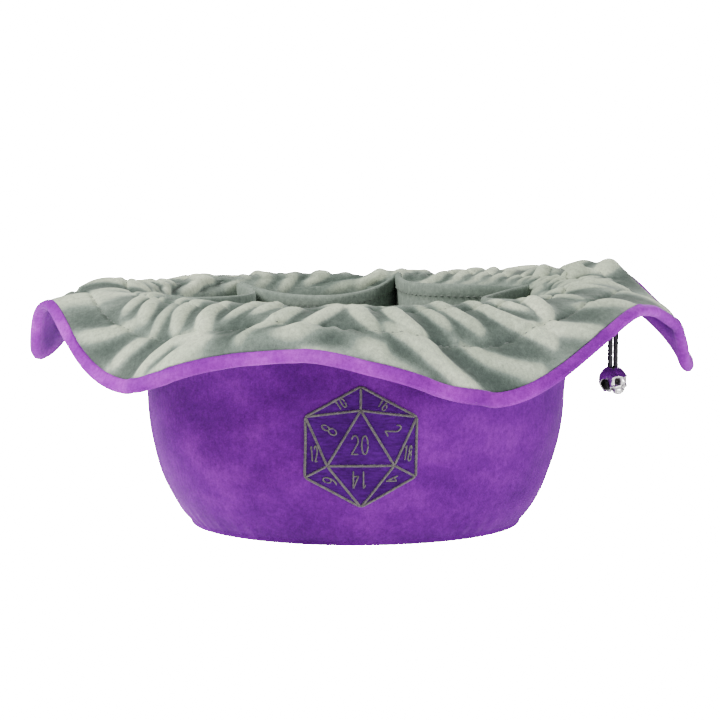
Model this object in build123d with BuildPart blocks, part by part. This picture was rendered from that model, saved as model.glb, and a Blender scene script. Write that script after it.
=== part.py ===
from build123d import *
import os
from math import atan2, cos, degrees, pi, radians, sin, tan

# Drawstring dice bag: a round plush pouch that stands open like a bowl. An outer fabric and a lining
# are joined round the mouth and flare out there into a wide wavy brim. A drawcord runs in a casing
# between the two layers of the brim, leaves it through one buttonhole on the +X side and hangs down
# with a metal skull bead on its end. Seven pockets stand round the inside, and a twenty-sided die is
# embroidered on the front, which faces -Y.
# Millimetres, +Z up. The origin is the centre of the base, on the surface that the bag stands on.

os.makedirs("parts", exist_ok=True)

# Body of the bag
base_radius = 63.0          # outside of the wall where it meets the base
body_radius = 80.0          # outside of the wall where it is upright
wall_top = 86.0             # height of the mouth, where the wall turns out into the brim
straight_height = 53.0      # the wall is upright above this
base_flare = 7.0            # how far, and how high, the wall leans out just above the base
base_rise = 6.2
belly_height = 26.0         # height at which the wall is nearly upright
belly_lean = 0.5

# Fabric layers
outer_thickness = 1.8
interlining_thickness = 2.2
lining_thickness = 1.6
stiffener_thickness = 2.0
stiffener_clearance = 0.2
brim_clearance = 0.1        # between the outer brim and the interlining that it turns out over

# Brim: azimuth, reach from the axis, height of the edge and height of the crown between the mouth
# and the edge, once round. An azimuth of 270 degrees is the front.
brim_edge = [
    (162, 122, 68, 3), (174, 124, 63, 7), (186, 122, 77, 7), (198, 118, 84, 2), (213, 118, 69, 2),
    (230, 118, 60, 2), (246, 118, 70, 2), (262, 118, 73, 2), (279, 118, 65, 2), (294, 118, 58, 2),
    (309, 118, 67, 2), (323, 119, 82, 2), (337, 120, 85, 4), (350, 124, 71, 6), (0, 128, 62, 6),
    (11, 128, 74, 3), (23, 123, 93, 0), (38, 118, 94, 0), (56, 116, 86, 1), (78, 116, 78, 2),
    (102, 117, 74, 2), (126, 117, 81, 1), (146, 119, 79, 1),
]
exit_corner = 14            # the drawcord comes out below this point of the edge
droop_power = 1.5           # 1 is a straight cone, and more keeps the brim level near the mouth
lip_share = 0.965           # the purple edge rolls over the grey outside this share of the brim
brim_middle = 0.78
casing_start = 0.22         # the casing for the drawcord, as shares of the brim's width
casing_inner = 0.29
casing_outer = 0.48
casing_end = 0.56
casing_half_gap = 2.6
inner_stitch_share = 0.18
outer_stitch_share = 0.62
stitch_share_width = 0.02
stitch_rise = 0.3

# Drawcord
strand_radius = 1.0
strand_gap = 0.1
loop_share = 0.38
loop_points = 56
hole_radius = 2.9
buttonhole_wall = 0.7
buttonhole_height = 2.2
top_clearance = 0.8         # between the loop's ends and the tops of the two hanging strands
knot_top = 55.2             # height of the knot, where the two strands end
knot_radius = 3.1
knot_height = 5.6
knot_round = 1.6

# Skull bead
bead_width = 11.6
bead_height = 14.0
bead_seat = 9.5             # height inside the bead that the knot stops at
jaw_width = 9.4
temple_height = 8.5
crown_round = 3.0
crown_hole_radius = 2.4
knot_clearance = 0.4
bead_seat_clearance = 0.3
ear_bore_radius = 2.2
ear_height = 6.8
bead_turn = -45.0           # the azimuth that the face looks along
eye_radius = 1.6
eye_height = 8.4
eye_spread = 24.0
nose_radius = 0.8
nose_height = 6.0
tooth_count = 5
tooth_spread = 48.0
tooth_gap = 0.35
tooth_depth = 0.5
tooth_height = 2.0
tooth_length = 2.2

# Pockets
pocket_count = 7
first_seam = 77.0
pocket_thickness = 1.4
pocket_reach = 50.0         # from the bag's axis to the middle of each pocket's face
pocket_rim = 83.0
seam_half_gap = 1.0
hem_height = 3.8
hem_extra = 0.6
stitch_height = 0.5

# Embroidery
badge_radius = 22.3
badge_height = 38.0
badge_offset = 2.0
badge_aspect = 1.03         # its width over that of a regular hexagon
fill_rise = 0.3
line_rise = 0.5
line_width = 0.9
line_share = 0.97
inner_share = 0.6

wall_thickness = outer_thickness + interlining_thickness + lining_thickness
floor_top = outer_thickness + stiffener_thickness + lining_thickness
outer_wall_top = wall_top - outer_thickness
lining_radius = body_radius - wall_thickness
piping_radius = outer_thickness / 2
brim_flange = outer_thickness - brim_clearance
board_radius = base_radius - wall_thickness - stiffener_clearance


def wall_curve(outset):
    """Control points of the wall's lower line, at a horizontal distance outside its outer face."""
    start = base_radius + outset
    upright = body_radius + outset
    return [
        (start, outer_thickness),
        (start + base_flare, outer_thickness + base_rise),
        (upright - belly_lean, belly_height),
        (upright, straight_height),
    ]


def wall_layer(outset, depth, top):
    """Section of one layer of the wall: outset is its outer face's distance outside the wall's."""
    with BuildLine() as line:
        outer = Bezier(*wall_curve(outset))
        inner = Bezier(*wall_curve(outset - depth))
        Line(inner @ 0, outer @ 0)
        Polyline(outer @ 1, (body_radius + outset, top), (body_radius + outset - depth, top), inner @ 1)
    return line.line


def brim_ring(share, rise, flange=0.0, first=0):
    """Closed line round the brim at a share of its width; a share of -1 lies inside the mouth."""
    points = []
    out = max(share, 0.0)
    for azimuth, reach, height, crown in brim_edge[first:] + brim_edge[:first]:
        across = reach - body_radius if share > 0 else flange
        radius = body_radius + across * share
        drop = (wall_top - height) * out**droop_power - 4 * crown * out * (1 - out)
        turn = radians(azimuth)
        points.append(Vector(radius * cos(turn), radius * sin(turn), wall_top - drop + rise))
    return Edge.make_spline(points, periodic=True)


def brim_layer(profile, flange=0.0):
    """Closed ring whose section has a corner at each pair of share and rise."""
    rings = [brim_ring(share, rise, flange) for share, rise in profile]
    faces = [Face.make_surface_from_curves(a, b) for a, b in zip(rings, rings[1:] + rings[:1])]
    ring = Solid(Shell(faces))
    return ring if ring.volume > 0 else -ring


def casing(half_gap):
    """Shares and rises of one side of the casing."""
    return [(casing_start, 0), (casing_inner, half_gap), (casing_outer, half_gap), (casing_end, 0)]


def export_piece(piece, name):
    """Writes one finished piece under its own name."""
    piece.part.label = name
    export_step(piece.part, f"parts/{name}.step")


def around(radius, azimuth, height=0.0):
    """Point at a distance from the bag's axis."""
    return Vector(radius * cos(radians(azimuth)), radius * sin(radians(azimuth)), height)


def rule_radii(points):
    """Largest arc that each corner of a cord's route has room for."""
    radii = []
    for before, corner, after in zip(points, points[1:], points[2:]):
        arriving = corner - before
        leaving = after - corner
        half_turn = radians(arriving.get_angle(leaving)) / 2
        radii.append(0.45 * min(arriving.length, leaving.length) / tan(half_turn))
    return radii


# Wall: three layers, the outer one fabric, the middle one a stiff interlining
with BuildPart() as outer_wall:
    with BuildSketch(Plane.XZ):
        add(wall_layer(0, outer_thickness, outer_wall_top))
        make_face()
    revolve(axis=Axis.Z)
export_piece(outer_wall, "outer_wall")

with BuildPart() as wall_interlining:
    with BuildSketch(Plane.XZ):
        add(wall_layer(-outer_thickness, interlining_thickness, wall_top))
        make_face()
    revolve(axis=Axis.Z)
export_piece(wall_interlining, "wall_interlining")

with BuildPart() as lining_wall:
    with BuildSketch(Plane.XZ):
        add(wall_layer(-outer_thickness - interlining_thickness, lining_thickness, wall_top))
        make_face()
    revolve(axis=Axis.Z)
export_piece(lining_wall, "lining_wall")

# Base: outer fabric with a corded seam round it, a stiff board and the lining
with BuildPart() as base_piping:
    with BuildSketch(Plane.XZ):
        with Locations((base_radius, piping_radius)):
            Circle(piping_radius)
    revolve(axis=Axis.Z)
export_piece(base_piping, "base_piping")

with BuildPart() as outer_base:
    with BuildSketch():
        Circle(base_radius - piping_radius)
    extrude(amount=outer_thickness)
export_piece(outer_base, "outer_base")

with BuildPart() as base_stiffener:
    with BuildSketch(Plane.XY.offset(outer_thickness)):
        Circle(board_radius)
    extrude(amount=stiffener_thickness)
export_piece(base_stiffener, "base_stiffener")

with BuildPart() as lining_base:
    with BuildSketch(Plane.XY.offset(outer_thickness + stiffener_thickness)):
        Circle(board_radius)
    extrude(amount=lining_thickness)
export_piece(lining_base, "lining_base")

# Brim: the layers lie on each other but for the casing, where the drawcord runs between them
loop_ring = brim_ring(loop_share, 0, first=exit_corner)
exit_point = loop_ring @ 0
exit_height = exit_point.Z - casing_half_gap - outer_thickness / 2

with BuildPart() as outer_brim:
    under = [(-1, 0), (0, 0), *casing(-casing_half_gap), (brim_middle, 0), (1, 0)]
    upper = [(1, lining_thickness), (lip_share, lining_thickness), (lip_share, 0), (brim_middle, 0)]
    upper += [*reversed(casing(-casing_half_gap)), (0, 0), (-1, 0)]
    add(brim_layer([(share, rise - outer_thickness) for share, rise in under] + upper, brim_flange))
    with Locations((exit_point.X, exit_point.Y, exit_height)):
        Cylinder(hole_radius + buttonhole_wall, 2 * buttonhole_height, mode=Mode.SUBTRACT)
export_piece(outer_brim, "outer_brim")

with BuildPart() as lining_brim:
    under = [(-1, 0), (0, 0), *casing(casing_half_gap), (brim_middle, 0), (lip_share, 0)]
    upper = [(lip_share, 0), (brim_middle, 0), (outer_stitch_share + stitch_share_width, 0)]
    upper += [(outer_stitch_share, 0), *reversed(casing(casing_half_gap))]
    upper += [(inner_stitch_share + stitch_share_width, 0), (inner_stitch_share, 0), (0, 0), (-1, 0)]
    add(brim_layer(under + [(share, rise + lining_thickness) for share, rise in upper], wall_thickness))
export_piece(lining_brim, "lining_brim")


def stitch_ring(share):
    """Row of stitches on the lining side of the brim."""
    far_share = share + stitch_share_width
    top = lining_thickness + stitch_rise
    corners = [(share, lining_thickness), (far_share, lining_thickness), (far_share, top), (share, top)]
    return brim_layer(corners)


with BuildPart() as casing_stitch_inner:
    add(stitch_ring(inner_stitch_share))
export_piece(casing_stitch_inner, "casing_stitch_inner")

with BuildPart() as casing_stitch_outer:
    add(stitch_ring(outer_stitch_share))
export_piece(casing_stitch_outer, "casing_stitch_outer")

# Drawcord: one cord once round the brim in its casing, both ends turning down through the buttonhole
with BuildPart() as exit_buttonhole:
    with Locations((exit_point.X, exit_point.Y, exit_height)):
        Cylinder(hole_radius + buttonhole_wall, buttonhole_height)
        Cylinder(hole_radius, buttonhole_height, mode=Mode.SUBTRACT)
export_piece(exit_buttonhole, "exit_buttonhole")

strand_offset = Vector(strand_radius + strand_gap / 2, 0, 0)
loop_bottom = exit_height - buttonhole_height / 2
shares_round = [0.5, 1.2, *range(2, loop_points - 1), loop_points - 1.2, loop_points - 0.5]
loop_route = [Vector(exit_point.X, exit_point.Y, loop_bottom) - strand_offset, exit_point - strand_offset]
loop_route += loop_ring.positions([share / loop_points for share in shares_round])
loop_route += [exit_point + strand_offset, Vector(exit_point.X, exit_point.Y, loop_bottom) + strand_offset]
loop_radii = rule_radii(loop_route)
print("drawcord loop radii", [round(radius, 1) for radius in loop_radii])

with BuildPart() as drawstring_loop:
    with BuildLine():
        loop_path = FilletPolyline(*loop_route, radius=loop_radii)
    with BuildSketch(Plane(loop_route[0], z_dir=(0, 0, 1))):
        Circle(strand_radius)
    sweep()
export_piece(drawstring_loop, "drawstring_loop")
loop_section = pi * strand_radius**2
print("loop volume over section times length", drawstring_loop.part.volume / loop_section / loop_path.length)

strand_top = loop_bottom - top_clearance
tail_length = strand_top - knot_top
for side, name in ((-1, "cord_strand_a"), (1, "cord_strand_b")):
    with BuildPart() as strand:
        foot = exit_point + strand_offset * side
        with BuildSketch(Plane((foot.X, foot.Y, knot_top))):
            Circle(strand_radius)
        extrude(amount=tail_length)
    export_piece(strand, name)

with BuildPart() as end_knot:
    with BuildSketch(Plane((exit_point.X, exit_point.Y, knot_top))):
        Circle(knot_radius)
    extrude(amount=-knot_height)
    fillet(end_knot.edges().group_by(Axis.Z)[0], knot_round)
export_piece(end_knot, "end_knot")

# Skull bead: a hollow casting, open below so that it drops over the knot
seat_height = knot_top + bead_seat_clearance
bead_bottom = seat_height - bead_seat
bead_axis = Plane((exit_point.X, exit_point.Y, bead_bottom))
face_plane = Plane((exit_point.X, exit_point.Y, bead_bottom), x_dir=around(1, bead_turn), z_dir=(0, 0, 1))
face_section = Plane(face_plane.origin, x_dir=face_plane.x_dir, z_dir=-face_plane.y_dir)
ear_plane = Plane((face_plane.origin + Vector(0, 0, ear_height)), z_dir=face_plane.y_dir)

with BuildPart() as skull_bead:
    with BuildSketch(face_section):
        with BuildLine():
            jaw = Bezier(
                (jaw_width / 2, 0),
                (jaw_width / 2, bead_height / 4),
                (bead_width / 2, bead_height / 3),
                (bead_width / 2, temple_height),
            )
            crown = Bezier(
                jaw @ 1,
                (bead_width / 2, bead_height - crown_round),
                (crown_round, bead_height),
                (0, bead_height),
            )
            Polyline(crown @ 1, (0, 0), jaw @ 0)
        make_face()
    revolve(axis=Axis(face_plane.origin, (0, 0, 1)))
    with BuildSketch(face_plane):
        Circle(crown_hole_radius)
    extrude(amount=bead_height, mode=Mode.SUBTRACT)
    with BuildSketch(face_plane):
        Circle(knot_radius + knot_clearance)
    extrude(amount=bead_seat, mode=Mode.SUBTRACT)
    with BuildSketch(ear_plane):
        Circle(ear_bore_radius)
    extrude(amount=bead_width, both=True, mode=Mode.SUBTRACT)
    with Locations(face_plane):
        with Locations(*[around(bead_width / 2, side * eye_spread, eye_height) for side in (-1, 1)]):
            Sphere(eye_radius, mode=Mode.SUBTRACT)
        with Locations(around(bead_width / 2, 0, nose_height)):
            Sphere(nose_radius, mode=Mode.SUBTRACT)
        with PolarLocations(jaw_width / 2, tooth_count, -tooth_spread / 2, tooth_spread, endpoint=True):
            with Locations((0, 0, tooth_height)):
                Box(2 * tooth_depth, tooth_gap, tooth_length, mode=Mode.SUBTRACT)
export_piece(skull_bead, "skull_bead")

# Pockets: each is a curved panel whose two sides are sewn to the lining
half_sector = 180 / pocket_count
seam_azimuths = [first_seam + 2 * half_sector * number for number in range(pocket_count)]
seam_turn = half_sector - degrees(seam_half_gap / lining_radius)
half_chord = lining_radius * sin(radians(seam_turn))
bulge = lining_radius * cos(radians(seam_turn)) - pocket_reach
panel_radius = (half_chord**2 + bulge**2) / (2 * bulge)

with BuildPart() as interior:
    with BuildSketch(Plane.XZ):
        with BuildLine():
            side = Bezier(*wall_curve(-wall_thickness))
            Polyline(side @ 1, (lining_radius, wall_top), (0, wall_top), (0, outer_thickness), side @ 0)
        make_face()
    revolve(axis=Axis.Z)


def pocket_band(azimuth, inner, outer, bottom, top):
    """Upright band along a pocket's face, between two radii about the face's own centre."""
    centre = around(pocket_reach + panel_radius, azimuth, bottom)
    with BuildPart() as band:
        with BuildSketch(Plane(centre)):
            Circle(outer)
            Circle(inner, mode=Mode.SUBTRACT)
        extrude(amount=top - bottom)
        add(interior.part, mode=Mode.INTERSECT)
    return band.part


hem_bottom = pocket_rim - hem_height
stitch_bottom = hem_bottom + stitch_height
face_radius = panel_radius + hem_extra
pocket_azimuths = [azimuth + half_sector for azimuth in seam_azimuths]
for number, azimuth in enumerate(pocket_azimuths, 1):
    with BuildPart() as pocket_panel:
        add(pocket_band(azimuth, panel_radius - pocket_thickness, panel_radius, floor_top, pocket_rim))
        add(pocket_band(azimuth, panel_radius, face_radius, hem_bottom, pocket_rim))
    export_piece(pocket_panel, f"pocket_panel_{number}")

with BuildPart() as pocket_hem_stitching:
    for azimuth in pocket_azimuths:
        outer = face_radius + stitch_rise
        add(pocket_band(azimuth, face_radius, outer, stitch_bottom, stitch_bottom + stitch_height))
export_piece(pocket_hem_stitching, "pocket_hem_stitching")

with BuildPart() as pocket_seam_stitching:
    with PolarLocations(lining_radius - stitch_rise / 2, pocket_count, first_seam):
        with Locations((0, 0, (straight_height + hem_bottom) / 2)):
            Box(stitch_rise, seam_half_gap, hem_bottom - straight_height)
    add(interior.part, mode=Mode.INTERSECT)
export_piece(pocket_seam_stitching, "pocket_seam_stitching")


# Embroidered die: a hexagonal field of thread and the raised lines of the faces
def skin(outset, depth):
    """Thin closed shell standing on the wall."""
    with BuildPart() as shell:
        with BuildSketch(Plane.XZ):
            add(wall_layer(outset, depth, outer_wall_top))
            make_face()
        revolve(axis=Axis.Z)
    return shell.part


def badge_point(share, angle):
    """Corner of the badge, as a share of its radius."""
    across = badge_offset + badge_aspect * badge_radius * share * cos(radians(angle))
    return (across, badge_height + badge_radius * share * sin(radians(angle)))


def badge_line(start, end):
    """One line of thread, with round ends, in the sketch that is open."""
    stretch = Edge.make_line((*start, 0), (*end, 0))
    with Locations(stretch @ 0.5):
        direction = stretch % 0.5
        turn = degrees(atan2(direction.Y, direction.X))
        SlotCenterToCenter(stretch.length, line_width, rotation=turn)


badge_plane = Plane.XZ.offset(2 * body_radius)
rim_angles = [30, 90, 150, 210, 270, 330]
inner_angles = [90, 210, 330]

with BuildPart() as d20_fill_stitch:
    with BuildSketch(badge_plane):
        Polygon(*[badge_point(1, angle) for angle in rim_angles], align=None)
    extrude(amount=2 * body_radius, dir=(0, 1, 0))
    add(skin(fill_rise, fill_rise), mode=Mode.INTERSECT)
export_piece(d20_fill_stitch, "d20_fill_stitch")

with BuildPart() as d20_line_stitch:
    with BuildSketch(badge_plane):
        for angle in rim_angles:
            badge_line(badge_point(line_share, angle), badge_point(line_share, angle + 60))
        for angle in inner_angles:
            badge_line(badge_point(inner_share, angle), badge_point(inner_share, angle + 120))
            for turn in (-60, 0, 60):
                badge_line(badge_point(inner_share, angle), badge_point(line_share, angle + turn))
    extrude(amount=2 * body_radius, dir=(0, 1, 0))
    add(skin(fill_rise + line_rise, line_rise), mode=Mode.INTERSECT)
export_piece(d20_line_stitch, "d20_line_stitch")
print("exit", exit_point, "loop bottom", loop_bottom, "strand top", strand_top, "bead", bead_bottom)
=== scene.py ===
# %% [markdown]
# A drawstring dice bag, standing open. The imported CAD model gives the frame: where each piece is, how
# big it is and which body it moves with. Everything here is in the same place, and is worked out in
# millimetres and written to the meshes in metres.

# %% The frame
from math import asin, cos, pi, radians, sin, tau

import bpy
import numpy as np
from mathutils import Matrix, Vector


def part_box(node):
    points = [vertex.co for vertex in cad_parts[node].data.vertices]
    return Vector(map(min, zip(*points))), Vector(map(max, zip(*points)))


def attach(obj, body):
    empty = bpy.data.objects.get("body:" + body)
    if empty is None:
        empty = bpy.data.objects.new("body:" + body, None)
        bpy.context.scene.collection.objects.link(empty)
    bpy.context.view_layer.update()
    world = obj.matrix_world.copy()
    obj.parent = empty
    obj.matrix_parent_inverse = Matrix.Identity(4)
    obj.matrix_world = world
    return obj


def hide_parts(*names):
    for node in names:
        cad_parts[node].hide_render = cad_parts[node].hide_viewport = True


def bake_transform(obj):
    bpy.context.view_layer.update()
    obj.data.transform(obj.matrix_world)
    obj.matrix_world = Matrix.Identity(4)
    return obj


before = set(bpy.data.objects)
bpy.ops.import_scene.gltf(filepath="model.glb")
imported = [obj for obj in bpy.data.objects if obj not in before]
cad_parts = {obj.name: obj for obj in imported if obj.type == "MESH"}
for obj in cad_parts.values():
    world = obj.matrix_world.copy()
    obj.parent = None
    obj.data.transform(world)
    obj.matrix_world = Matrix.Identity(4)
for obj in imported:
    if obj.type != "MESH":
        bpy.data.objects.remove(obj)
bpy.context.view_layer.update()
MM = 0.001


def node_box(node):
    """Lowest and highest corner of a CAD node, in millimetres."""
    low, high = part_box(node)
    return np.array(low) / MM, np.array(high) / MM


body_radius = node_box("outer_wall")[1][0]
mouth_height = node_box("wall_interlining")[1][2]
base_thickness = node_box("outer_base")[1][2]
base_radius = node_box("base_piping")[1][0] - base_thickness / 2
lining_thickness = 1.6
lining_radius = node_box("lining_wall")[1][0] - lining_thickness
floor_height = node_box("lining_base")[1][2]
board_radius = node_box("lining_base")[1][0]
print("body radius", body_radius, "mouth height", mouth_height, "base radius", base_radius)

# %% [markdown]
# Every soft piece is a closed surface on a grid of points: rows run one way, columns the other, and
# either way may close on itself. A ring of cloth closes both ways, like a flattened tyre. The faces
# are four neighbouring grid points each, so the whole mesh is made with array arithmetic. The sign of
# the enclosed volume tells which way the faces point, and they are turned over if they point inwards.

# %% Grid meshes


def write_mesh(name, points, quads, triangles=None):
    """Makes a smooth mesh from points in millimetres, with its faces turned outwards."""
    triangles = np.zeros((0, 3), int) if triangles is None else np.asarray(triangles, int)
    quads = np.asarray(quads, int)
    corners = np.concatenate([
        points[quads[:, [0, 1, 2]]].reshape(-1, 3, 3),
        points[quads[:, [0, 2, 3]]].reshape(-1, 3, 3),
        points[triangles].reshape(-1, 3, 3),
    ])
    middle = points.mean(0)
    volume = np.einsum("ij,ij->", corners[:, 0] - middle,
                       np.cross(corners[:, 1] - middle, corners[:, 2] - middle))
    if volume < 0:
        quads, triangles = quads[:, ::-1], triangles[:, ::-1]
    mesh = bpy.data.meshes.new(name)
    mesh.vertices.add(len(points))
    mesh.vertices.foreach_set("co", (points * MM).astype(np.float32).ravel())
    mesh.loops.add(quads.size + triangles.size)
    numbers = np.concatenate([quads.ravel(), triangles.ravel()])
    mesh.loops.foreach_set("vertex_index", numbers.astype(np.int32))
    mesh.polygons.add(len(quads) + len(triangles))
    sizes = np.concatenate([np.full(len(quads), 4), np.full(len(triangles), 3)])
    mesh.polygons.foreach_set("loop_start", (np.cumsum(sizes) - sizes).astype(np.int32))
    mesh.update(calc_edges=True)
    mesh.validate()
    mesh.shade_smooth()
    return mesh


def grid_quads(rows, columns, round_rows, round_columns, first=0):
    """Four corner numbers for each face of a grid of points."""
    row, column = np.meshgrid(
        np.arange(rows if round_rows else rows - 1),
        np.arange(columns if round_columns else columns - 1), indexing="ij")
    below, beside = (row + 1) % rows, (column + 1) % columns
    quads = np.stack([row * columns + column, below * columns + column,
                      below * columns + beside, row * columns + beside], axis=-1)
    return first + quads.reshape(-1, 4)


def cloth_uv(mesh, grid):
    """Writes a UV map in metres: across the columns is U, along the rows is V."""
    rows, columns, _ = grid.shape
    along = np.linalg.norm(np.diff(grid, axis=0, append=grid[:1]), axis=2).mean(1)
    across = np.linalg.norm(np.diff(grid, axis=1, append=grid[:, :1]), axis=2).mean(0)
    along, across = np.cumsum(along) - along, np.cumsum(across) - across
    vertex = np.zeros(len(mesh.loops), np.int32)
    mesh.loops.foreach_get("vertex_index", vertex)
    number = np.where(vertex < rows * columns, vertex, 0)
    uv = np.stack([across[number % columns], along[number // columns]], axis=1) * MM
    layer = mesh.uv_layers.new(name="cloth")
    layer.data.foreach_set("uv", uv.astype(np.float32).ravel())


def add_piece(name, mesh, material, body, replaces=()):
    """Links a finished mesh as a piece that rides on a body and stands for CAD nodes."""
    piece = bpy.data.objects.new(name, mesh)
    bpy.context.scene.collection.objects.link(piece)
    mesh.materials.append(material)
    if body:
        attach(piece, body)
    if replaces:
        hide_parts(*replaces)
    print(name, len(mesh.vertices), "points")
    return piece


def write_values(mesh, name, values):
    """Writes one value for each point of a mesh, for its material to read."""
    layer = mesh.attributes.new(name, "FLOAT", "POINT")
    layer.data.foreach_set("value", values.astype(np.float32).ravel())


def mark_painted_light(mesh, upper, lower):
    """Writes the crest mark for each point of a two-sided ring, which the plush turns into painted highlight
    where it is high and painted shade where it is low.
    """
    near, far = np.repeat(upper[:, :1], 3, axis=1), np.repeat(upper[:, -1:], 3, axis=1)
    write_values(mesh, "crest", np.concatenate([upper, far, lower[:, ::-1], near], axis=1))


def unit(vectors):
    """Vectors with length 1: each is divided by its length."""
    return vectors / np.maximum(np.linalg.norm(vectors, axis=-1, keepdims=True), 1e-9)


def normals_of(grid):
    """Unit normals of a ring's surface, from the differences between neighbouring points."""
    along = np.roll(grid, -1, 0) - np.roll(grid, 1, 0)
    return unit(np.cross(along, np.gradient(grid, axis=1)))


def round_points(radius, turn, height):
    """Points at a radius, an azimuth and a height: x is the radius times the cosine, y times the sine."""
    return np.stack(np.broadcast_arrays(radius * np.cos(turn), radius * np.sin(turn), height), axis=-1)


def upright_normals(grid):
    """Normals of a ring's surface, turned over where they point down."""
    normal = normals_of(grid)
    return normal * np.sign(normal[:, 40:41, 2:3])


def rounded_end(upper, lower, steps=3):
    """Half round edge from the last column of one side to the last column of the other.

    Each point is the middle plus cosine times half the thickness plus sine times the way out."""
    middle, half = (upper[:, -1] + lower[:, -1]) / 2, (upper[:, -1] - lower[:, -1]) / 2
    out = unit((upper[:, -1] + lower[:, -1]) - (upper[:, -2] + lower[:, -2]))
    size = np.linalg.norm(half, axis=1, keepdims=True)
    angles = np.linspace(0, pi, steps + 2)[1:-1]
    return np.stack([middle + half * cos(a) + out * size * sin(a) for a in angles], axis=1)


def shell_grid(upper, lower):
    """Closed section: over the upper side, round one edge, back under and round the other edge."""
    far = rounded_end(upper, lower)
    near = rounded_end(lower[:, ::-1], upper[:, ::-1])
    return np.concatenate([upper, far, lower[:, ::-1], near], axis=1)


def ring_shell(name, upper, lower):
    """Mesh of a ring of cloth with two sides."""
    grid = shell_grid(upper, lower)
    rows, columns, _ = grid.shape
    mesh = write_mesh(name, grid.reshape(-1, 3), grid_quads(rows, columns, True, True))
    cloth_uv(mesh, grid)
    return mesh


def end_fans(rows, columns, first=0):
    """Triangles that close a tube's two ends; their tips are the two points after the tube's own."""
    column = np.arange(columns)
    beside = (column + 1) % columns
    tip, last = first + rows * columns, first + (rows - 1) * columns
    return [np.stack([0 * column + tip, first + column, first + beside], axis=1),
            np.stack([0 * column + tip + 1, last + beside, last + column], axis=1)]


def strip_mesh(name, grid):
    """Mesh of a tube whose rows are rings, with its ends closed by fans of triangles."""
    rows, columns, _ = grid.shape
    points = np.concatenate([grid.reshape(-1, 3), [grid[0].mean(0), grid[-1].mean(0)]])
    quads = grid_quads(rows, columns, False, True)
    mesh = write_mesh(name, points, quads, np.concatenate(end_fans(rows, columns)))
    cloth_uv(mesh, grid)
    return mesh


def join_strips(name, grids):
    """One mesh from many tubes, each with its ends closed."""
    points, quads, triangles, first = [], [], [], 0
    for grid in grids:
        rows, columns, _ = grid.shape
        points += [grid.reshape(-1, 3), [grid[0].mean(0), grid[-1].mean(0)]]
        quads.append(grid_quads(rows, columns, False, True, first))
        triangles += end_fans(rows, columns, first)
        first += rows * columns + 2
    return write_mesh(name, np.concatenate(points), np.concatenate(quads), np.concatenate(triangles))


def strip_shell(name, upper, lower):
    """Mesh of a strip of cloth with two sides and closed ends."""
    return strip_mesh(name, shell_grid(upper, lower))


def tube(name, path, radius, sides=16, round_path=False):
    """Round tube along a path: each ring is the path's point plus the radius times a turning normal."""
    path = np.asarray(path, float)
    if round_path:
        tangent = np.roll(path, -1, 0) - np.roll(path, 1, 0)
    else:
        tangent = np.gradient(path, axis=0)
    tangent = unit(tangent)
    upright = np.abs(tangent[:, 2:3]) > 0.9
    upright |= np.abs(tangent[:, 2]).mean() > 0.9
    side = unit(np.cross(tangent, np.where(upright, [[0.0, 1.0, 0.0]], [[0.0, 0.0, 1.0]])))
    other = np.cross(tangent, side)
    turn = np.linspace(0, tau, sides, endpoint=False)
    ring = np.cos(turn)[None, :, None] * side[:, None] + np.sin(turn)[None, :, None] * other[:, None]
    size = np.broadcast_to(radius, (len(path), sides))
    grid = path[:, None] + ring * size[..., None]
    if not round_path:
        return strip_mesh(name, grid)
    mesh = write_mesh(name, grid.reshape(-1, 3), grid_quads(len(path), sides, True, True))
    cloth_uv(mesh, grid)
    return mesh


# %% [markdown]
# Cloth is never even. Its folds come from a sum of waves round the bag, whose heights and places are
# drawn once from a seeded generator. Few waves make dents as wide as a hand, and many make pleats.

# %% Waves round the bag


def waves(turn, fewest, most, seed):
    """Sum of cosines with from fewest to most waves a turn, random heights and places, size about 1."""
    draw = np.random.default_rng(seed)
    total = np.zeros_like(turn)
    for count in range(fewest, most + 1):
        total += draw.normal() * np.cos(count * turn + draw.uniform(0, tau))
    return total / np.sqrt((most - fewest + 1) / 2)


def step(low, high, value):
    """Smooth rise from 0 to 1 between two values."""
    share = np.clip((value - low) / (high - low), 0, 1)
    return share * share * (3 - 2 * share)


def bump(centre, half_width, value):
    """Smooth hill of height 1 about a value."""
    return np.exp(-(((value - centre) / half_width) ** 2))


def near_turn(centre_degrees, half_width_degrees, turn):
    """Smooth hill about an azimuth."""
    gap = (np.degrees(turn) - centre_degrees + 180) % 360 - 180
    return np.exp(-((gap / half_width_degrees) ** 2))


def round_spline(angles, values, turn):
    """Closed cubic spline through values at azimuths in degrees, with matching slopes and bends."""
    x, y = np.asarray(angles, float), np.asarray(values, float)
    gap = np.diff(x, append=x[0] + 360)
    before = np.roll(gap, 1)
    count = len(x)
    places = np.arange(count)
    system = np.zeros((count, count))
    system[places, places] = 2 * (gap + before)
    system[places, (places + 1) % count] += gap
    system[places, (places - 1) % count] += before
    slope = (np.roll(y, -1) - y) / gap
    bend = np.linalg.solve(system, 6 * (slope - np.roll(slope, 1)))
    at = (np.degrees(turn) - x[0]) % 360 + x[0]
    piece = np.clip(np.searchsorted(x, at, side="right") - 1, 0, count - 1)
    right = (piece + 1) % count
    a = (x[piece] + gap[piece] - at) / gap[piece]
    b = 1 - a
    return (a * y[piece] + b * y[right]
            + ((a**3 - a) * bend[piece] + (b**3 - b) * bend[right]) * gap[piece] ** 2 / 6)


# %% [markdown]
# The wall is a line turned about the bag's axis: it leans out from the base on a Bezier curve, and is
# upright above. Shallow dents push it in and out, and fade away at the base seam, which holds it round.

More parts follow.
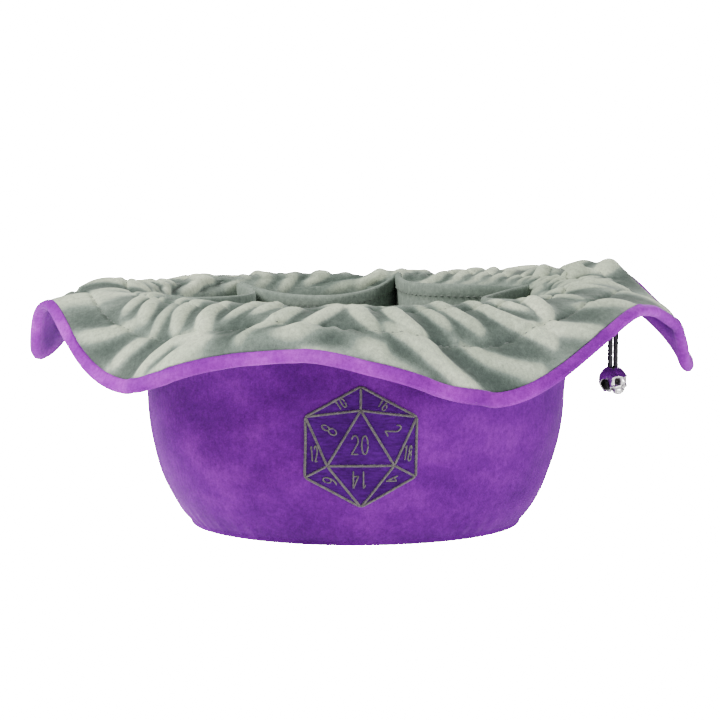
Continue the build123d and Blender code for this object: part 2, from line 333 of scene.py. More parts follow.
# %% The wall's surface
straight_height = 53.0
share = np.linspace(0, 1, 200)
wall_controls = np.array([
    (base_radius, base_thickness), (base_radius + 7, base_thickness + 6.2),
    (body_radius - 0.5, 26.0), (body_radius, straight_height)])
bernstein = np.stack([(1 - share) ** 3, 3 * share * (1 - share) ** 2, 3 * share**2 * (1 - share), share**3])
wall_line = bernstein.T @ wall_controls


def wall_dent(turn, height):
    """How far the wall stands out of its line: wide dents, and small puckers above the base seam."""
    middle = step(2, 30, height) * (1 - 0.5 * step(60, 86, height))
    wide = waves(turn + 0.012 * height, 2, 6, 11) * np.cos(height / 24 + waves(turn, 1, 3, 12))
    creases = waves(turn - 0.01 * height, 9, 16, 13) * np.sin(height / 9 + waves(turn, 2, 4, 14))
    puckers = waves(turn, 40, 80, 15) * bump(4, 4, height)
    return middle * (1.0 * wide + 0.28 * creases) + 0.16 * puckers


def wall_point(turn, height, outset):
    """Point of the wall: its line turned to an azimuth, moved out by the dents and the outset."""
    radius = np.interp(height, wall_line[:, 1], wall_line[:, 0]) + wall_dent(turn, height) + outset
    return round_points(radius, turn, height)


def wall_layer(outset, thickness, bottom, top, around, up=110):
    """Outer and inner side of one layer of the wall."""
    turn, height = np.meshgrid(np.linspace(0, tau, around, endpoint=False),
                               bottom + (top - bottom) * np.linspace(0, 1, up) ** 1.25, indexing="ij")
    return wall_point(turn, height, outset), wall_point(turn, height, outset - thickness)


# %% [markdown]
# The brim is one wavy surface that both its layers follow. The edge's reach and height, and the
# height of the crown between mouth and edge, are read off closed splines through listed points. The
# folds lie on top of it. Each is a line on the brim, given by azimuth and share of the brim's width,
# and the cloth rises over it as a ridge with a rounded crest and wide feet. Those at the front are
# listed one by one: short ones in the casing, and long ones that fan out from the troughs of the edge.
# The others are drawn by a seeded generator, tightest where the cord comes out.

# %% The brim's surface
brim_edge = [
    (162, 122, 68, 3), (174, 124, 63, 7), (186, 122, 77, 7), (198, 118, 84, 2), (213, 118, 69, 2),
    (230, 118, 60, 2), (246, 118, 70, 2), (262, 118, 73, 2), (279, 118, 65, 2), (294, 118, 58, 2),
    (309, 118, 67, 2), (323, 119, 82, 2), (337, 120, 85, 4), (350, 124, 71, 6), (360, 128, 62, 6),
    (371, 128, 74, 3), (383, 123, 93, 0), (398, 118, 94, 0), (416, 116, 86, 1), (438, 116, 78, 2),
    (462, 117, 74, 2), (486, 117, 81, 1), (506, 119, 79, 1),
]
casing_inner, casing_outer = 0.19, 0.615
lip_share = 0.94
cloth_thickness = 1.15
edge_angles, edge_reaches, edge_heights, edge_crowns = zip(*brim_edge)
# height and half width in millimetres, then pairs of azimuth and share of the brim's width
front_folds = [
    (2.0, 2.6, (207, 0.12), (211, 0.35), (213, 0.50)), (2.3, 2.8, (213, 0.12), (216, 0.3), (221, 0.5)),
    (1.5, 2.4, (221, 0.1), (224, 0.32), (226, 0.55)), (2.6, 2.8, (227, 0.14), (229, 0.35), (232, 0.56)),
    (2.6, 2.6, (236, 0.12), (237, 0.4), (240, 0.66)), (1.7, 2.4, (244, 0.1), (245, 0.3), (243, 0.5)),
    (2.4, 2.6, (258, 0.25), (255, 0.55), (250, 0.84)), (2.4, 2.8, (267, 0.2), (264, 0.42), (259, 0.76)),
    (1.8, 2.4, (250, 0.08), (251, 0.25), (249, 0.42)), (1.9, 2.4, (270, 0.2), (271, 0.42), (274, 0.64)),
    (2.7, 2.8, (277, 0.16), (279, 0.42), (284, 0.68)), (1.8, 2.4, (285, 0.1), (287, 0.28), (289, 0.46)),
    (2.3, 2.6, (291, 0.08), (293, 0.3), (296, 0.48)), (2.7, 2.8, (300, 0.08), (302, 0.36), (309, 0.78)),
    (1.8, 2.4, (307, 0.1), (308, 0.28), (310, 0.44)), (2.4, 2.6, (317, 0.12), (314, 0.36), (312, 0.6)),
    (2.8, 3.6, (229, 0.96), (231, 0.82), (235, 0.69), (243, 0.74)),
    (2.8, 3.8, (232, 0.97), (238, 0.87), (247, 0.79)),
    (3.4, 4.4, (238, 0.93), (250, 0.86), (258, 0.80), (266, 0.72), (274, 0.80)),
    (2.2, 4.2, (262, 0.95), (272, 0.9), (281, 0.95)),
    (3.4, 3.8, (277, 0.60), (282, 0.72), (287, 0.86), (292, 0.98)),
    (2.8, 3.6, (290, 0.62), (295, 0.74), (304, 0.90)),
    (2.6, 3.8, (307, 0.60), (312, 0.70), (318, 0.92)), (2.2, 4.0, (218, 0.60), (214, 0.75), (209, 0.92)),
    (2.0, 3.6, (322, 0.62), (327, 0.76), (330, 0.92)), (1.8, 3.6, (226, 0.62), (223, 0.76), (221, 0.9)),
]


def drawn_folds():
    """Folds at the sides and the back, with uneven places, leans, lengths and heights."""
    draw = np.random.default_rng(31)
    folds = []
    azimuth, last_azimuth = 326.0, 563
    while azimuth < last_azimuth:
        tight = np.exp(-(((azimuth - 378) / 30) ** 2))
        lean = draw.normal() * 3 + 9 * tight
        end = draw.uniform(0.48, 0.66)
        folds.append((1.2 + 1.1 * tight + 0.35 * draw.normal(), 2.2 - 0.6 * tight, (azimuth, 0.04),
                      (azimuth + 0.2 * lean, 0.24), (azimuth + lean, end)))
        azimuth += draw.uniform(5.5, 9.5) * (1 - 0.45 * tight)
    azimuth, last_azimuth = 335.0, 560
    while azimuth < last_azimuth:
        lean = draw.normal() * 7
        folds.append((1.6 + 0.6 * draw.normal(), draw.uniform(3, 4.6), (azimuth, 0.58),
                      (azimuth + 0.4 * lean, 0.76), (azimuth + lean, draw.uniform(0.88, 1.0))))
        azimuth += draw.uniform(11, 19)
    return folds


mouth_radius, brim_width = 80, 38
fold_reach = 14
fold_lift, fold_level = 1.3, 0.8


def flat_place(azimuth, share):
    """Place on the brim laid flat, in millimetres: along its arc at that share, and out from the mouth."""
    return azimuth * pi / 180 * (mouth_radius + brim_width * share), brim_width * share


def near_line(x, y, points):
    """Squared distance to a line of straight runs, and how far along it the nearest place is."""
    nearest, along = np.full(x.shape, 1e9), np.zeros(x.shape)
    for number, (start, end) in enumerate(zip(points, points[1:])):
        run = end - start
        place = np.clip(((x - start[0]) * run[0] + (y - start[1]) * run[1]) / (run @ run), 0, 1)
        distance = (x - start[0] - place * run[0]) ** 2 + (y - start[1] - place * run[1]) ** 2
        along = np.where(distance < nearest, (number + place) / (len(points) - 1), along)
        nearest = np.minimum(nearest, distance)
    return nearest, along


def brim_folds(turn, u):
    """Height of the folds: each ridge falls off with the distance to its line, along a bell curve."""
    total = 0.22 * waves(turn + 0.10 * u, 34, 60, 21) * (1 - step(0.2, 0.8, u))
    total += (0.35 * waves(turn + 0.34 * u * np.cos(turn - 2.2), 11, 24, 22)
              + 0.6 * waves(turn, 6, 11, 23) * step(0.4, 1, u))
    degrees_round = np.degrees(turn[:, 0])
    for height, half_width, *corners in front_folds + drawn_folds():
        azimuths = np.array([corner[0] for corner in corners], float)
        gap = (degrees_round - azimuths.mean() + 180) % 360 - 180
        rows = np.abs(gap) < np.ptp(azimuths) / 2 + fold_reach
        x, y = flat_place(gap[rows, None], u[rows])
        points = np.array([flat_place(azimuth - azimuths.mean(), share) for azimuth, share in corners])
        nearest, along = near_line(x, y, points)
        crest = (0.62 * np.exp(-nearest / (0.8 * half_width) ** 2)
                 + 0.38 * np.exp(-nearest / (2.2 * half_width) ** 2))
        length_fade = 0.25 + 0.75 * np.sin(pi * (0.06 + 0.88 * along)) ** 0.7
        total[rows] += fold_lift * height * crest * length_fade
    return total - fold_level


def brim_point(turn, u):
    """Point midway between the brim's layers, at an azimuth and a share u of the brim's width.

    The height falls from the mouth's to the edge's with u to the power 1.5, and the crown adds a hill
    of 4 u (1 - u). Below zero, u runs down inside the mouth. The edge at the right curls down."""
    out = np.clip(u, 0, None)
    reach, height, crown = (round_spline(edge_angles, values, turn)
                            for values in (edge_reaches, edge_heights, edge_crowns))
    inside = np.clip(-u, 0, 1) * pi / 2
    radius = body_radius - 1 + (reach - body_radius + 1) * out - 4.2 * np.sin(inside)
    level = mouth_height + 1.0 - (mouth_height + 1.0 - height) * out**1.5 - 7.0 * (1 - np.cos(inside))
    level = level + 4 * crown * out * (1 - out) + 1.2 * bump(0.06, 0.12, u)
    level = level - 9.0 * near_turn(28, 26, turn) * step(0.80, 1.06, u)
    return round_points(radius, turn, level)


around_brim, across_brim = 800, 84
brim_turns = np.linspace(0, tau, around_brim, endpoint=False)
brim_shares = np.concatenate([np.linspace(-1, 0, 14, endpoint=False), np.linspace(0, 1, across_brim)])
turn_grid, share_grid = np.meshgrid(brim_turns, brim_shares, indexing="ij")
brim_middle = brim_point(turn_grid, share_grid)
brim_normal = upright_normals(brim_middle)
fold_window = step(-1.0, -0.2, share_grid)
folds = brim_folds(turn_grid, share_grid) * fold_window
brim_middle = brim_middle + brim_normal * folds[..., None]
brim_normal = upright_normals(brim_middle)
broad_folds = folds
for reach in (3, 5, 7, 10):
    broad_folds = (broad_folds + np.roll(broad_folds, reach, 0) + np.roll(broad_folds, -reach, 0)) / 3
# crests: how far each point stands above its neighbours' average fold; the plush turns it into painted
# highlight on ridges and painted shade in hollows.
crests = np.tanh((folds - broad_folds) / 0.5)
casing = np.clip((share_grid - casing_inner) / (casing_outer - casing_inner), 0, 1)
casing_puff = np.sin(pi * casing) ** 0.8
pinch = bump(casing_inner, 0.022, share_grid) + bump(casing_outer, 0.022, share_grid)
stitch_puckers = waves(turn_grid, 90, 130, 24) * (
    bump(casing_inner, 0.09, share_grid) + bump(casing_outer, 0.09, share_grid))
print("brim edge heights", brim_middle[:, -1, 2].min(), brim_middle[:, -1, 2].max())


def brim_side(offset):
    """Surface at a distance from the middle of the brim, along its normal."""
    return brim_middle + brim_normal * np.asarray(offset)[..., None]


# %% [markdown]
# Plush is a knit with a short soft pile. What shows is the nap: patches where the pile has been
# stroked one way are lighter than their neighbours, and close to, single tufts catch the light. So
# the colour is mixed from wide and narrow noise on the object's own coordinates, a fine noise lifts
# the surface, sheen gives the pale bloom where the cloth turns away, and the brim's ridges and
# hollows carry painted highlight and painted shade. Sheen and roughness are set on the shader
# itself, since they are the same all over.

# %% Materials


class Finish:
    """A material with one Principled shader, and the few kinds of node that the finishes here need."""

    def __init__(self, name, colour, roughness, metallic=0.0, sheen=0.0, sheen_tint=None, sheen_roughness=0.5,
                 specular=0.3):
        self.material = bpy.data.materials.new(name)
        self.material.use_nodes = True
        self.material.diffuse_color = (*colour, 1)
        self.nodes, self.links = self.material.node_tree.nodes, self.material.node_tree.links
        self.main = self.nodes["Principled BSDF"].inputs
        for socket, value in (("Base Color", (*colour, 1)), ("Roughness", roughness), ("Metallic", metallic),
                              ("Sheen Weight", sheen), ("Sheen Roughness", sheen_roughness),
                              ("Sheen Tint", (*(sheen_tint or colour), 1)), ("Specular IOR Level", specular)):
            self.main[socket].default_value = value
        self.place = self.nodes.new("ShaderNodeTexCoord").outputs["Object"]

    def noise(self, scale, detail=3.0, roughness=0.55, stretch=None):
        """Noise on the object's coordinates, stretched if asked; returns its value."""
        source = self.place
        if stretch:
            mapping = self.nodes.new("ShaderNodeMapping")
            mapping.inputs["Scale"].default_value = stretch
            self.links.new(source, mapping.inputs["Vector"])
            source = mapping.outputs["Vector"]
        texture = self.nodes.new("ShaderNodeTexNoise")
        for socket, value in (("Scale", scale), ("Detail", detail), ("Roughness", roughness)):
            texture.inputs[socket].default_value = value
        self.links.new(source, texture.inputs["Vector"])
        return texture.outputs["Fac"]

    def attribute(self, name):
        """Value that the mesh carries at each point."""
        node = self.nodes.new("ShaderNodeAttribute")
        node.attribute_name = name
        return node.outputs["Fac"]

    def ramp(self, value, *stops):
        """Colours over a value; each stop is a place and a colour, or a place and a grey."""
        node = self.nodes.new("ShaderNodeValToRGB")
        for place, _ in stops[2:]:
            node.color_ramp.elements.new(place)
        for element, (place, colour) in zip(node.color_ramp.elements, sorted(stops)):
            element.position = place
            element.color = (*colour, 1) if isinstance(colour, tuple) else (colour, colour, colour, 1)
        self.links.new(value, node.inputs["Fac"])
        return node.outputs["Color"]

    def times(self, first, second):
        """Product of two colours."""
        node = self.nodes.new("ShaderNodeMix")
        node.data_type, node.blend_type = "RGBA", "MULTIPLY"
        node.inputs["Factor"].default_value = 1.0
        colours = [socket for socket in node.inputs if socket.type == "RGBA"]
        self.links.new(first, colours[0])
        self.links.new(second, colours[1])
        return [socket for socket in node.outputs if socket.type == "RGBA"][0]

    def finish(self, colour, *bumps):
        """Sets the colour and a chain of bumps, coarse to fine: height, distance in mm and strength."""
        self.links.new(colour, self.main["Base Color"])
        normal = None
        for height, distance, strength in bumps:
            node = self.nodes.new("ShaderNodeBump")
            node.inputs["Distance"].default_value = distance * MM
            node.inputs["Strength"].default_value = strength
            self.links.new(height, node.inputs["Height"])
            if normal:
                self.links.new(normal, node.inputs["Normal"])
            normal = node.outputs["Normal"]
        self.links.new(normal, self.main["Normal"])
        return self.material


def plush(name, deep, plain, light, sheen_tint, sheen):
    """Short-pile cloth: faint stroked patches, tufts, and painted highlight on ridges and painted shade in
    hollows, from the crest mark.
    """
    cloth = Finish(name, plain, 0.9, sheen=sheen, sheen_tint=sheen_tint, sheen_roughness=0.35, specular=0.1)
    stroked = cloth.noise(34, 5, 0.62, (1.0, 1.0, 1.5))
    tufts = cloth.noise(650, 3, 0.65, (1.0, 1.0, 0.75))
    fibres = cloth.noise(2200, 2, 0.6)
    patches = cloth.ramp(stroked, (0.36, deep), (0.52, plain), (0.68, light))
    speckle = cloth.ramp(tufts, (0.3, (0.78, 0.78, 0.79)), (0.7, (1.16, 1.16, 1.15)))
    grain = cloth.ramp(fibres, (0.3, 0.86), (0.7, 1.13))
    # stroke is painted light and shade: the crest mark, from -1 to 1, is spread to 0 to 1 and turns into a
    # dark tint in hollows and a pale warm one on ridges.
    spread = cloth.nodes.new("ShaderNodeMapRange")
    spread.inputs["From Min"].default_value = -1.0
    cloth.links.new(cloth.attribute("crest"), spread.inputs["Value"])
    stroke = cloth.ramp(spread.outputs["Result"], (0.0, (0.30, 0.33, 0.33)), (0.5, (0.88, 0.90, 0.88)),
                        (1.0, (2.3, 2.15, 1.85)))
    colour = cloth.times(cloth.times(cloth.times(patches, speckle), grain), stroke)
    return cloth.finish(colour, (tufts, 0.4, 0.55), (fibres, 0.15, 0.5))


purple_plush = plush("purple_plush", (0.100, 0.003, 0.195), (0.143, 0.005, 0.262), (0.206, 0.013, 0.346),
                     (0.80, 0.34, 1.0), 0.24)
grey_plush = plush("grey_plush", (0.185, 0.228, 0.198), (0.228, 0.274, 0.240), (0.275, 0.322, 0.282),
                   (0.95, 1.0, 0.90), 0.16)


def thread(name, colour, dark, twist_scale=900, sheen=0.25):
    """Sewing or embroidery thread: a fine uneven twist along it."""
    spun = Finish(name, colour, 0.6, sheen=sheen, sheen_tint=(0.9, 0.9, 0.9), specular=0.4)
    strands = spun.noise(twist_scale, 2, 0.6)
    return spun.finish(spun.ramp(strands, (0.3, dark), (0.7, colour)), (strands, 0.15, 0.6))


seam_thread = thread("seam_thread", (0.17, 0.20, 0.18), (0.08, 0.10, 0.09))
purple_thread = thread("purple_thread", (0.13, 0.025, 0.28), (0.06, 0.012, 0.14))
badge_thread = thread("badge_thread", (0.145, 0.135, 0.125), (0.062, 0.053, 0.056))


def badge_field_finish():
    """Dark purple stitched field: pressed pile with rows of stitches across it."""
    field = Finish("badge_field", (0.05, 0.004, 0.12), 0.9, sheen=0.04, sheen_tint=(0.6, 0.4, 0.9),
                   specular=0.05)
    rows = field.noise(900, 2, 0.6, (0.35, 1.0, 1.6))
    patches = field.noise(90, 3, 0.6)
    base = field.ramp(patches, (0.3, (0.036, 0.002, 0.088)), (0.7, (0.072, 0.005, 0.162)))
    return field.finish(field.times(base, field.ramp(rows, (0.3, 0.65), (0.7, 1.25))), (rows, 0.25, 0.8))


def braid_finish():
    """Black braided cord: dark matt fibres with a slight gloss on top of each strand."""
    cord = Finish("black_cord", (0.012, 0.012, 0.014), 0.55, sheen=0.2, sheen_tint=(0.5, 0.5, 0.55),
                  specular=0.35)
    strands = cord.noise(1300, 2, 0.6)
    return cord.finish(cord.ramp(strands, (0.3, (0.006, 0.006, 0.007)), (0.75, (0.035, 0.034, 0.038))),
                       (strands, 0.12, 0.7))


def silver_finish():
    """Cast silver, polished on its high places and tarnished in its hollows."""
    cast = Finish("antique_silver", (0.72, 0.71, 0.70), 0.24, 1.0, specular=0.5)
    hollow = cast.attribute("hollow")
    wear = cast.noise(700, 3, 0.6)
    tarnish = cast.ramp(hollow, (0.12, (0.78, 0.77, 0.76)), (0.5, (0.20, 0.19, 0.19)),
                        (0.9, (0.035, 0.032, 0.034)))
    clouds = cast.ramp(wear, (0.3, (0.82, 0.82, 0.83)), (0.7, (1.05, 1.05, 1.04)))
    cast.links.new(cast.ramp(hollow, (0.1, 0.2), (0.7, 0.6)), cast.main["Roughness"])
    return cast.finish(cast.times(tarnish, clouds), (wear, 0.05, 0.4))


badge_field, black_cord, antique_silver = badge_field_finish(), braid_finish(), silver_finish()
stiff_white = thread("white_wadding", (0.72, 0.71, 0.68), (0.55, 0.54, 0.52), 300)
print("materials", len(bpy.data.materials))

# %% [markdown]
# The camera stands low in front of the bag, between four and five degrees above its mouth, with a
# long lens.

# %% Camera
camera_data = bpy.data.cameras.new("camera")
camera_data.sensor_width = 36
camera_data.lens = 148.5
camera_data.clip_end = 20
camera = bpy.data.objects.new("camera", camera_data)
bpy.context.scene.collection.objects.link(camera)
camera.location = (0.0017, -1.128, 0.175)
look_at = Vector((0.0017, 0.0, 0.0616))
camera.rotation_euler = (look_at - camera.location).to_track_quat("-Z", "Y").to_euler()
bpy.context.scene.camera = camera

# %% [markdown]
# The purple wall, the wadding inside it and the grey lining are three rings of cloth round the same
# dented line. Each has its own outset, so they lie on each other without touching.

# %% Wall


def wall_piece(name, layer, material, node):
    """One layer of the wall as a piece."""
    return add_piece(name, ring_shell(name, *layer), material, "bag", [node])


cloth_thick, wadding_thick = 1.5, 2.0
wadding_outset, lining_outset = -1.7, -3.9
wall_outside = wall_layer(0.0, cloth_thick, base_thickness - 0.3, mouth_height - 0.4, 430)
wall_cloth = wall_piece("wall_cloth", wall_outside, purple_plush, "outer_wall")
wadding_layer = wall_layer(wadding_outset, wadding_thick, base_thickness + 0.2, mouth_height - 5.0, 270, 40)
wall_piece("wadding", wadding_layer, stiff_white, "wall_interlining")
lining_layer = wall_layer(lining_outset, cloth_thick, base_thickness + 0.4, mouth_height - 2.5, 360, 60)
lining_cloth = wall_piece("lining_cloth", lining_layer, grey_plush, "lining_wall")


def disc_piece(name, radius, bottom, top, material, node, relief=0.0, seed=1):
    """Round flat pad: rings from the centre of the top out over a rounded edge to the centre below."""
    turn = np.linspace(0, tau, 180, endpoint=False)
    thick = (top - bottom) / 2
    edge = np.linspace(pi / 2, -pi / 2, 9)
    flat = np.linspace(0.02, 1, 26)[:-1] * (radius - thick)
    rings = np.concatenate([flat, radius - thick + thick * np.cos(edge), flat[::-1]])
    heights = np.concatenate([0 * flat + thick, thick * np.sin(edge), 0 * flat - thick])
    ring_grid, turns = np.meshgrid(rings, turn, indexing="ij")
    lump = relief * waves(turns, 3, 9, seed) * np.sin(ring_grid / 9) * (heights > 0)[:, None]
    height = (top + bottom) / 2 + heights[:, None] + lump * (1 - (ring_grid / radius) ** 8)
    add_piece(name, strip_mesh(name, round_points(ring_grid, turns, height)), material, "bag", [node])


disc_piece("base_cloth", base_radius - 0.7, 0.0, base_thickness, purple_plush, "outer_base")
disc_piece("base_board", board_radius, base_thickness + 0.1, base_thickness + 1.9, stiff_white,
           "base_stiffener")
disc_piece("floor_cloth", board_radius + 2.3, floor_height - cloth_thick, floor_height, grey_plush,
           "lining_base", relief=0.25, seed=5)

# %% [markdown]
# The seam round the base is a narrow roll of the wall's cloth, pulled in a little at each stitch.

# %% Base seam
seam_turn = np.linspace(0, tau, 720, endpoint=False)
seam_sides = 14
seam_path = round_points(base_radius - 0.9, seam_turn, base_thickness / 2 + 0.02)
seam_size = (0.82 + 0.06 * np.sin(seam_turn * 130)[:, None]) * np.ones(seam_sides)
add_piece("base_seam", tube("base_seam", seam_path, seam_size, seam_sides, True), purple_plush, "bag",
          ["base_piping"])

# %% [markdown]
# The brim's two layers part between the two casing seams, where the drawcord runs, and lie on each
# other elsewhere. At the edge the purple layer rolls up over the grey one as a soft lip.

# %% Brim
lip = step(lip_share - 0.02, lip_share + 0.02, share_grid)
exit_dip = 1.3 * near_turn(0, 7, turn_grid) * bump(0.38, 0.14, share_grid)
gap = 1.15 * casing_puff * (share_grid > casing_inner) * (share_grid < casing_outer)
ripple = 0.20 * stitch_puckers
grey_top = brim_side(gap + cloth_thickness * (1 - 0.85 * pinch) + ripple)
grey_bottom = brim_side(gap + 0.04)


def every_fourth(chosen):
    """The chosen columns of the brim, and a quarter of them, with both ends, for the hidden side."""
    full = np.flatnonzero(chosen)
    return full, np.unique(np.concatenate([full[::4], full[-1:]]))


def brim_piece(name, shown, hidden, painted_light_marks, material, node):
    """One layer of the brim as a piece, with the marks for its painted highlight and painted shade written on
    it.
    """
    piece = add_piece(name, ring_shell(name, shown[:, full], hidden[:, few]), material, "bag", [node])
    mark_painted_light(piece.data, painted_light_marks[:, full], painted_light_marks[:, few])
    return piece


full, few = every_fourth(brim_shares <= lip_share)
grey_brim = brim_piece("brim_lining", grey_top, grey_bottom, crests, grey_plush, "lining_brim")
roll = bump(0.99, 0.035, share_grid)
purple_bottom = brim_side(-gap - exit_dip - cloth_thickness * (1 - 0.5 * pinch) - 0.9 * roll + ripple * 0.6)
purple_top = brim_side(np.where(share_grid < lip_share, -0.04 - gap - exit_dip, 1.9 * lip - 0.04))
# Painted light on the purple layer: a painted highlight along the lip, faint painted shade under the grey
# layer's ridges and faint painted highlight under its hollows.
purple_painted_light = 0.7 * step(0.92, 0.97, share_grid) - 0.3 * crests
full, few = every_fourth(brim_shares >= -0.12)
few = np.unique(np.concatenate([few, full[brim_shares[full] > lip_share - 0.04]]))
purple_brim = brim_piece("brim_cloth", purple_bottom, purple_top, purple_painted_light, purple_plush,
                         "outer_brim")

# %% [markdown]
# A row of stitches is one small rounded stitch, copied along a line. The copies are made by adding
# each place to the one stitch, turned to run along the line and to stand up from the cloth.

# %% Stitches
stitch_rings, stitch_sides = 7, 6


def stitch_row(name, places, along, up, length, width, node):
    """Many stitches as one piece: a spindle of rings, placed by its middle, direction and normal.

    The spindle's radius is the square root of one minus its place to the power 4, and its ends dip
    into the cloth by the square of its place."""
    run = np.linspace(-1, 1, stitch_rings)
    angle = np.linspace(0, tau, stitch_sides, endpoint=False)
    size = np.sqrt(1 - (0.98 * run) ** 4)
    spindle = np.stack(np.broadcast_arrays(
        run[:, None] * length / 2, size[:, None] * np.cos(angle) * width / 2,
        size[:, None] * np.sin(angle) * width / 2 - 0.12 * (run[:, None] ** 2) * width * 3), axis=-1)
    directions = np.stack([along, np.cross(up, along), up], axis=1)
    points = places[:, None, None] + np.einsum("rsk,nkd->nrsd", spindle, directions)
    return add_piece(name, join_strips(name, points), seam_thread, "bag", [node])


def casing_row(name, u, count, node):
    """Row of stitches round the brim at a share of its width."""
    column = int(np.argmin(np.abs(brim_shares - u)))
    line = grey_top[:, column]
    pick = (np.arange(count) * around_brim / count).astype(int)
    along = unit(np.roll(line, -4, 0) - np.roll(line, 4, 0))[pick]
    up = brim_normal[pick, column]
    stitch_row(name, line[pick] + 0.02 * up, along, up, 1.7, 0.38, node)


casing_row("casing_stitches_inner", casing_inner, 190, "casing_stitch_inner")
casing_row("casing_stitches_outer", casing_outer, 226, "casing_stitch_outer")

# %% [markdown]
# Seven pockets stand round the inside. Each is a panel whose sides are sewn to the lining and whose
# face bows towards the middle, on the arc of a circle. The rim is folded over twice into a soft hem,
# which sags a little between the seams, and leans in or out as the pocket pleases.

# %% Pockets
pocket_count, first_seam, pocket_reach = 7, 77.0, 50.0
sector = tau / pocket_count
half_chord = lining_radius * sin(sector / 2 - 0.012)
pocket_bulge = lining_radius * cos(sector / 2 - 0.012) - pocket_reach
pocket_curve = (half_chord**2 + pocket_bulge**2) / (2 * pocket_bulge)
pocket_angle = asin(half_chord / pocket_curve)
pocket_moods = np.random.default_rng(7).normal(size=(pocket_count, 6))
# height of each rim where it starts, in its middle and where it ends
rim_heights = [
    (88.5, 81.5, 86.5), (86.0, 83.5, 85.5), (85.5, 83.0, 85.0), (85.0, 83.2, 84.6), (84.8, 82.4, 85.4),
    (85.6, 84.8, 86.8), (86.8, 86.6, 89.4),
]


def pocket_face(number, outset):
    """Face of a pocket at an outset towards the bag's middle: an arc, limited by the lining behind it."""
    mood = pocket_moods[number]
    across, up = np.meshgrid(np.linspace(-1, 1, 90), np.linspace(0, 1, 70), indexing="ij")
    middle = radians(first_seam) + sector * (number + 0.5)
    angle = across * pocket_angle
    start, dip, end = rim_heights[number]
    rim = dip + np.where(across < 0, end - dip, start - dip) * across**2 + 0.4 * np.sin(3 * across + mood[1])
    height = floor_height - 0.6 + (rim - floor_height + 0.6) * up
    lean = (1.6 + 1.6 * mood[2]) * up**2 * np.cos(across * pi / 2)
    wave = 0.9 * np.sin(4.5 * across + mood[3] + 2 * up) * np.cos(across * pi / 2) * step(0.2, 1, up)
    depth = pocket_curve + outset + lean + wave
    centre = pocket_reach + pocket_curve
    inward = centre - depth * np.cos(angle)
    sideways = depth * np.sin(angle)
    behind = np.interp(height, wall_line[:, 1], wall_line[:, 0]) - 5.6
    radius = np.hypot(inward, sideways)
    limit = np.minimum(radius, behind) / radius
    x = inward * limit * cos(middle) + sideways * limit * sin(middle)
    y = inward * limit * sin(middle) - sideways * limit * cos(middle)
    return np.stack([x, y, height], axis=-1), up


hem_column = 66
hem_picks = np.arange(2, 88, 3)
hem_rows, pocket_pieces = [], []
for number in range(pocket_count):
    name = f"pocket_{number + 1}"
    base, up = pocket_face(number, 0.0)
    out, _ = pocket_face(number, 1.0)
    toward = unit(out - base + 1e-6)
    hem = step(0.945, 0.957, up) - 0.75 * bump(0.951, 0.006, up)
    front = base + toward * (0.75 + 0.75 * hem)[..., None]
    back = base - toward * (0.65 + 0.35 * hem)[..., None]
    pocket_pieces.append(add_piece(name, strip_shell(name, front, back), grey_plush, "bag",
                                   [f"pocket_panel_{number + 1}"]))
    line, stand = front[:, hem_column], toward[hem_picks, hem_column]
    hem_rows.append((line[hem_picks] + 0.03 * stand, unit(np.gradient(line, axis=0))[hem_picks], stand))
stitch_row("pocket_hem_stitches", *map(np.concatenate, zip(*hem_rows)), 1.6, 0.45, "pocket_hem_stitching")
seam_turns, seam_levels = np.meshgrid(radians(first_seam) + sector * np.arange(pocket_count),
                                      np.arange(54, 80, 2.6), indexing="ij")
seam_turns, seam_levels = seam_turns.ravel(), seam_levels.ravel()
seam_in = -round_points(1, seam_turns, 0)
stitch_row("pocket_seam_stitches", wall_point(seam_turns, seam_levels, -5.35),
           np.tile([0.0, 0.0, 1.0], (len(seam_turns), 1)), seam_in, 1.9, 0.45, "pocket_seam_stitching")

# %% [markdown]
# The die on the front is satin stitch. Each line is a low half round ridge laid on the wall along a
# path, with a ripple along it for the threads, which lie across. The numerals are the same ridges,
# narrower, on paths made of straight and oval strokes. The field behind them is a thin stitched patch.

# %% Embroidered die
badge_low, badge_high = node_box("d20_fill_stitch")
badge_x, badge_z = (badge_low[0] + badge_high[0]) / 2, (badge_low[2] + badge_high[2]) / 2
badge_up, badge_wide = 22.2, 22.2 * 1.035


def badge_surface(x, z, outset):
    """Point on the front of the wall above a place on the badge, which is measured from its middle."""
    height = badge_z + z
    radius = np.interp(height, wall_line[:, 1], wall_line[:, 0])
    turn = 1.5 * pi + np.arcsin(np.clip((badge_x + x) / radius, -1, 1))
    return wall_point(turn, height, outset)


def satin_ridge(path, width, height, pitch=0.55):
    """Half round ridge: across it, its height is the square root of one minus the place squared."""
    path = np.asarray(path, float)
    lengths = np.concatenate([[0], np.cumsum(np.linalg.norm(np.diff(path, axis=0), axis=1))])
    along = np.arange(0, lengths[-1], pitch / 4)
    x, z = np.interp(along, lengths, path[:, 0]), np.interp(along, lengths, path[:, 1])
    slope = unit(np.gradient(np.stack([x, z], axis=1), axis=0))
    place = np.array([-1, -0.85, -0.5, 0, 0.5, 0.85, 1, 0.6, 0, -0.6])
    rise = np.array([0, 0.53, 0.87, 1, 0.87, 0.53, 0, -0.3, -0.3, -0.3])
    ends = np.minimum(1, np.sqrt(np.minimum(along, along[-1] - along) / width + 0.02))[:, None]
    threads = 1 + 0.22 * np.sin(tau * along[:, None] / pitch + 2.2 * place)
    half = width / 2 * ends
    out = 0.32 + np.where(rise > 0, rise * height * ends * threads, rise * 0.6)
    aside = place * half
    return badge_surface(x[:, None] - slope[:, 1:] * aside, z[:, None] + slope[:, :1] * aside, out)


def corner(share, degrees):
    """Corner of the badge's hexagon or of the triangle in it."""
    return (badge_wide * share * cos(radians(degrees)), badge_up * share * sin(radians(degrees)))


